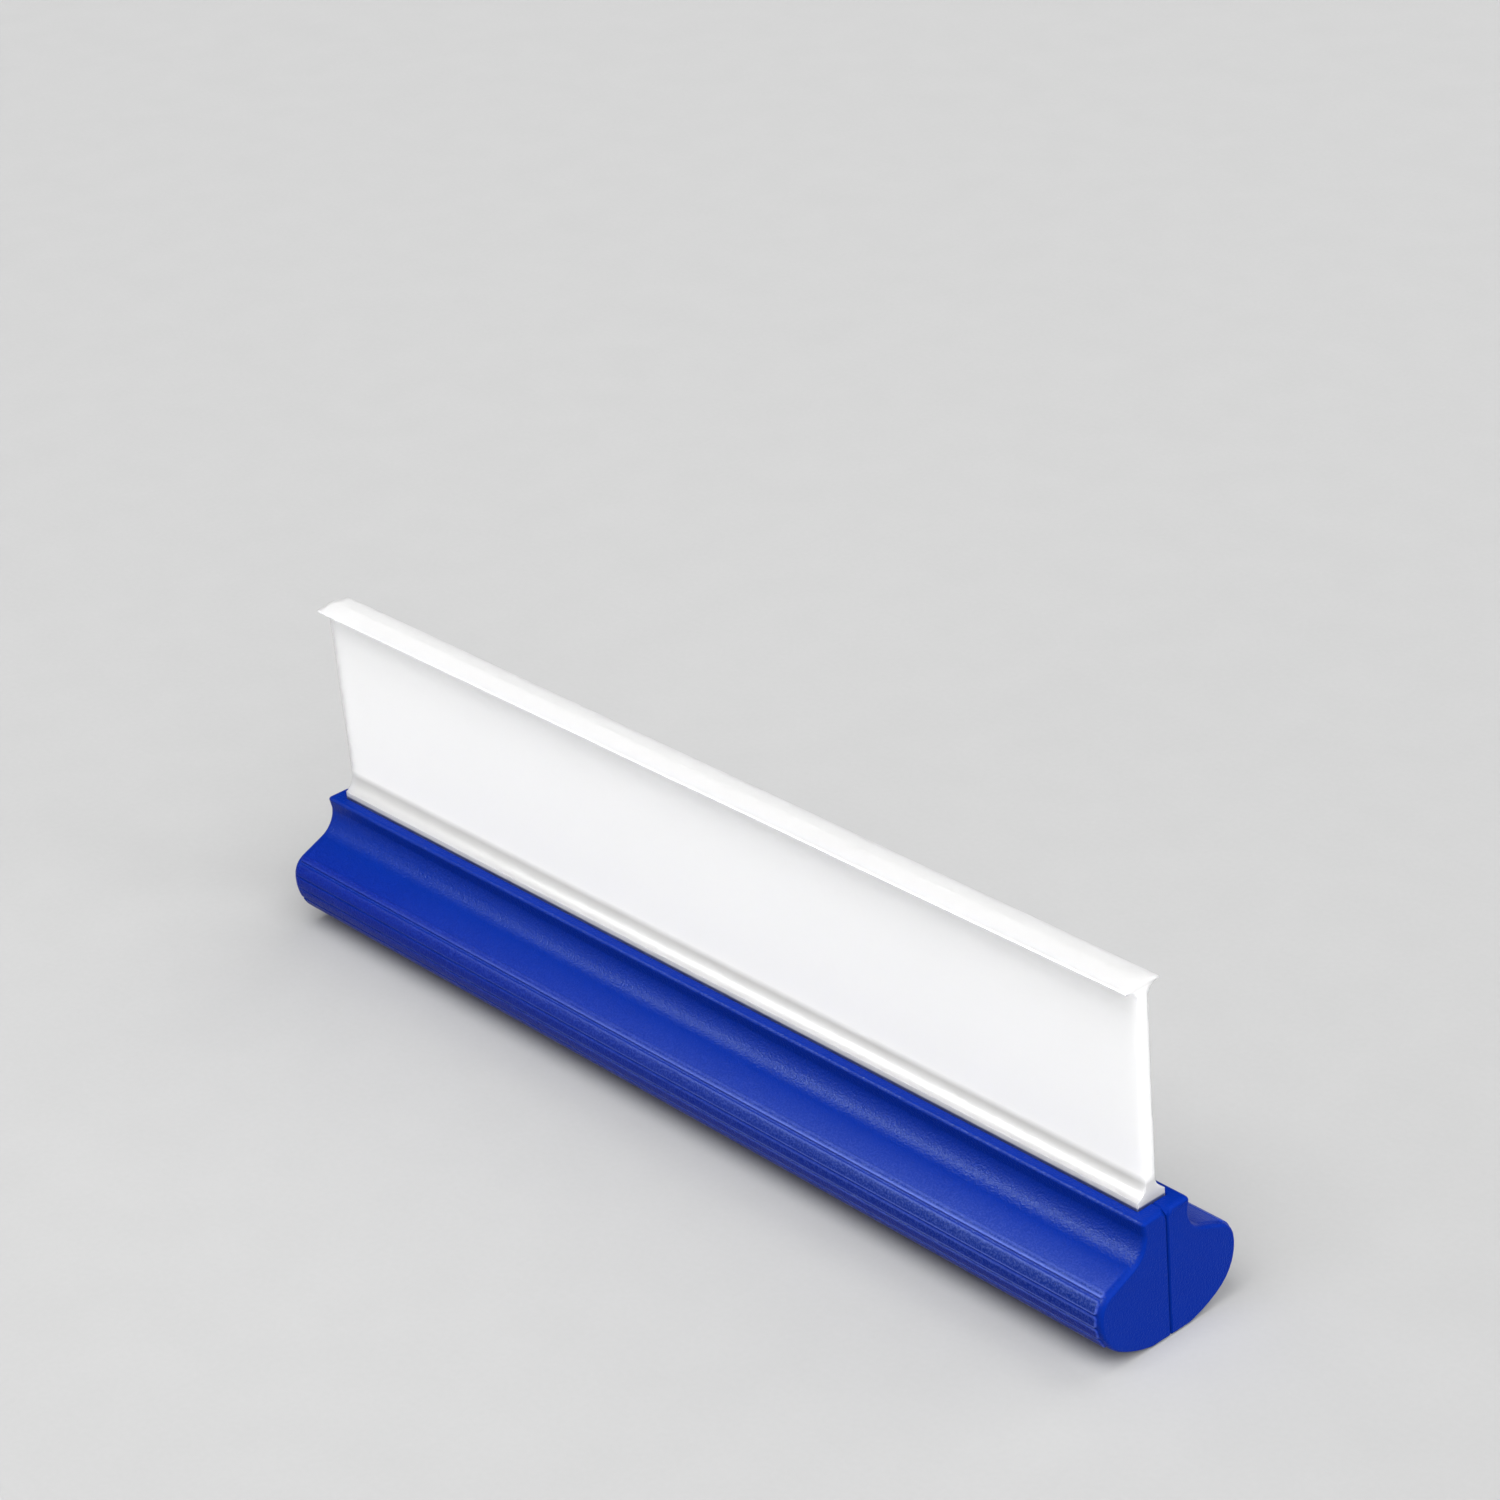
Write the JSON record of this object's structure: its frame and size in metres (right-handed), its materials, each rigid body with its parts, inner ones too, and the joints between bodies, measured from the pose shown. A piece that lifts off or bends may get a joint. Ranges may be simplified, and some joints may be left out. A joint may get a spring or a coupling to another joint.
{
  "type": "squeegee",
  "caption": "Water-blade squeegee: long hollow plastic handle with a flexible silicone T-bar blade clamped between its two halves.",
  "frame": {"origin": "under the middle of the handle's back, on the surface that the squeegee stands on", "axes": "+X along the handle, +Y from the front half to the rear half, +Z from the handle's back up to the blade's crest"},
  "size_m": [0.305, 0.0448, 0.0924],
  "materials": {
    "handle_plastic": "fine moulded grain",
    "silicone": "satin white silicone"
  },
  "bodies": {
    "handle": {"front_shell": "handle_plastic", "rear_shell": "handle_plastic", "blade_root": "silicone"},
    "blade": {"blade_web": "silicone", "blade_tee": "silicone"}
  },
  "joints": [
    {"name": "blade_flex", "type": "hinge", "parent": "handle", "child": "blade", "pos_m": [0, 0, 0.0425], "axis": [1, 0, 0], "range_deg": [-40, 40], "stiffness_Nm_per_rad": 0.09}
  ]
}
